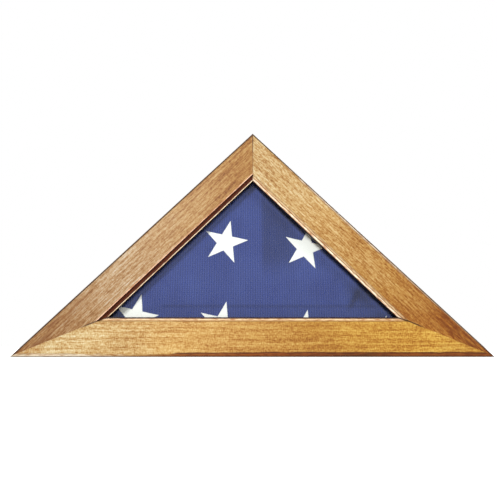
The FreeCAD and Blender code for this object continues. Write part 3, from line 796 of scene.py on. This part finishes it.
layer_height = half_width - layer_inset * math.sqrt(2) - layer_inset
flag_cloth = right_triangle("flag_cloth", layer_height, front_layer_y, layer_inset)
bpy.ops.mesh.subdivide(number_cuts=149)
bpy.ops.object.mode_set(mode="OBJECT")
for vertex in flag_cloth.data.vertices:
    vertex.co.y = front_surface(vertex.co.x, vertex.co.z)
solid = flag_cloth.modifiers.new("thickness", "SOLIDIFY")
solid.thickness = layer_thickness
solid.offset = -1
bpy.ops.object.modifier_apply(modifier="thickness")
bpy.ops.object.shade_smooth()
painted_shade_values = flag_cloth.data.attributes.new("painted_shade", "FLOAT", "POINT")
for vertex, value in zip(flag_cloth.data.vertices, painted_shade_values.data):
    value.value = painted_shade_at(vertex.co.x, vertex.co.z)
flag_cloth.data.materials.append(navy)
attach(flag_cloth, "case")
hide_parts("folded_flag")


# ---- Stars ----------------------------------------------------------------------------------
# Bleached cotton stars, cut out and sewn to the field with a close satin stitch round the edge,
# which stands up as a narrow ribbed border. The weave inside it is finer than the flag's.

star_radius = 22.0 * MM
star_border = 1.6 * MM
star_thickness = 0.25 * MM
star_stand_off = 0.3 * MM
star_pitch = 77.0
front_stars = ((-26.4, 107.4), (51.2, 102.3), (-109.5, 35.4), (-29.6, 28.7), (46.5, 21.1), (120.2, 16.0))
back_stars = ([(-34.0 + star_pitch * step, 108.0) for step in range(2)]
              + [(-114.3 + star_pitch * step, 29.5) for step in range(4)])
front_lean = 12.5
back_lean = -9.0

# The satin stitch is drawn at 0.7 mm and the weave at 1 mm, because real ones are too fine to show.
stitch_gap = 0.7
weave = 1.0

star_cloth, tree = material("bleached_sewn_cotton")
place = along_the_grain(tree, 0, 0.0)
stitched = add(tree, "Attribute", attribute_name="stitched").outputs["Fac"]
border = add(tree, "MapRange", (stitched, 0.35, 0.65))
fine_weave = noise_layer(tree, place, (weave, weave, weave), 3.0, 2.0)
satin = add(tree, "TexWave", {"Vector": place, "Scale": math.pi / (10 * stitch_gap), "Distortion": 0.6},
            bands_direction="DIAGONAL").outputs["Fac"]
relief = add(tree, "Mix", (border, fine_weave, satin), data_type="FLOAT")
# The furrows between the satin stitches are painted grey as shade.
furrow = add(tree, "MapRange", (satin, 0.0, 0.6, 1.0, 0.0))
furrow_shade_share = add(tree, "Math", (border, furrow), operation="MULTIPLY")
whiteness = add(tree, "Mix", (furrow_shade_share, linear("#f7f7f5"), linear("#d9dade")), data_type="RGBA")
bump = add(tree, "Bump", {"Height": relief, "Strength": 0.25, "Distance": 0.0002})
shade = add(tree, "BsdfPrincipled", {"Base Color": whiteness, "Roughness": 0.75, "Normal": bump,
                                     "Sheen Weight": 0.1})
add(tree, "OutputMaterial", {"Surface": shade})


def star_pattern(lean):
    """A flat star about the origin, leaning clockwise from the front, with its border marked."""
    bpy.ops.object.select_all(action="DESELECT")
    bpy.ops.mesh.primitive_circle_add(vertices=10, radius=star_radius, fill_type="NGON",
                                      rotation=(math.radians(90), 0, 0))
    pattern = bpy.context.object
    pattern.name = "star_pattern"
    bpy.ops.object.transform_apply(location=False, rotation=True, scale=True)
    notch = math.sin(math.radians(18)) / math.sin(math.radians(54))
    for vertex in pattern.data.vertices:
        turn = math.degrees(math.atan2(vertex.co.x, vertex.co.z)) % 72
        vertex.select = 30 < turn < 42
    for edge in pattern.data.edges:
        edge.select = False
    for face in pattern.data.polygons:
        face.select = False
    bpy.ops.object.mode_set(mode="EDIT")
    bpy.ops.mesh.select_mode(type="VERT")
    bpy.ops.transform.resize(value=(notch, 1, notch), center_override=(0, 0, 0))
    bpy.ops.mesh.select_all(action="SELECT")
    bpy.ops.mesh.inset(thickness=star_border)
    bpy.ops.object.mode_set(mode="OBJECT")
    marks = pattern.data.attributes.new("stitched", "FLOAT", "POINT")
    inner = {index for face in pattern.data.polygons if len(face.vertices) == 10 for index in face.vertices}
    for index, mark in enumerate(marks.data):
        mark.value = 0.0 if index in inner else 1.0
    bpy.ops.object.mode_set(mode="EDIT")
    bpy.ops.mesh.select_all(action="SELECT")
    bpy.ops.mesh.quads_convert_to_tris()
    bpy.ops.mesh.subdivide(number_cuts=4)
    bpy.ops.transform.rotate(value=math.radians(-lean), orient_axis="Y", center_override=(0, 0, 0))
    bpy.ops.object.mode_set(mode="OBJECT")
    return pattern


def trim(inset, foot):
    """The three cuts that keep a star inside a triangle, as (normal, point)."""
    reach = half_width - inset * math.sqrt(2)
    return ((0, 0, -1), (0, 0, foot)), ((1, 0, 1), (reach, 0, 0)), ((-1, 0, 1), (-reach, 0, 0))


def sew_star(pattern, name, x, z, cuts, surface, outward):
    """Places a copy of the pattern, trims it, lays it on the flag and gives it thickness."""
    star = pattern.copy()
    star.data = pattern.data.copy()
    star.name = name
    bpy.context.scene.collection.objects.link(star)
    for vertex in star.data.vertices:
        vertex.co.x += x * MM
        vertex.co.z += z * MM
    bpy.ops.object.select_all(action="DESELECT")
    star.select_set(True)
    bpy.context.view_layer.objects.active = star
    bpy.ops.object.mode_set(mode="EDIT")
    for normal, spot in cuts:
        bpy.ops.mesh.select_all(action="SELECT")
        bpy.ops.mesh.bisect(plane_co=spot, plane_no=normal, clear_outer=True)
    bpy.ops.object.mode_set(mode="OBJECT")
    for vertex in star.data.vertices:
        vertex.co.y = surface(vertex.co.x, vertex.co.z) + outward * star_stand_off
    body = star.modifiers.new("thickness", "SOLIDIFY")
    body.thickness = star_thickness
    bpy.ops.object.modifier_apply(modifier="thickness")
    bpy.ops.object.mode_set(mode="EDIT")
    bpy.ops.mesh.select_all(action="SELECT")
    bpy.ops.mesh.normals_make_consistent(inside=False)
    bpy.ops.object.mode_set(mode="OBJECT")
    star.data.materials.append(star_cloth)
    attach(star, "case")
    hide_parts("flag_stars")


front_cuts = trim(layer_inset, layer_inset)
pattern = star_pattern(front_lean)
for index, (x, z) in enumerate(front_stars):
    sew_star(pattern, f"front_star_{index + 1}", x, z, front_cuts, front_surface, -1)
bpy.data.objects.remove(pattern)

back_layers = [BVHTree.FromObject(piece, bpy.context.evaluated_depsgraph_get()) for piece in (bundle, tuck)]


def back_surface(x, z):
    """Y of the flag's back at a place."""
    start = Vector((x, flag_high.y + 20 * MM, z))
    hits = [layer.ray_cast(start, Vector((0, -1, 0)))[0] for layer in back_layers]
    return max([hit.y for hit in hits if hit] or [flag_high.y - 2 * MM])


back_inset = (half_width - (bundle_height + bundle_low_z - 6 * MM)) / math.sqrt(2)
back_cuts = trim(back_inset, bundle_low_z + 3 * MM)
pattern = star_pattern(back_lean)
for index, (x, z) in enumerate(back_stars):
    sew_star(pattern, f"back_star_{index + 1}", x, z, back_cuts, back_surface, 1)
bpy.data.objects.remove(pattern)
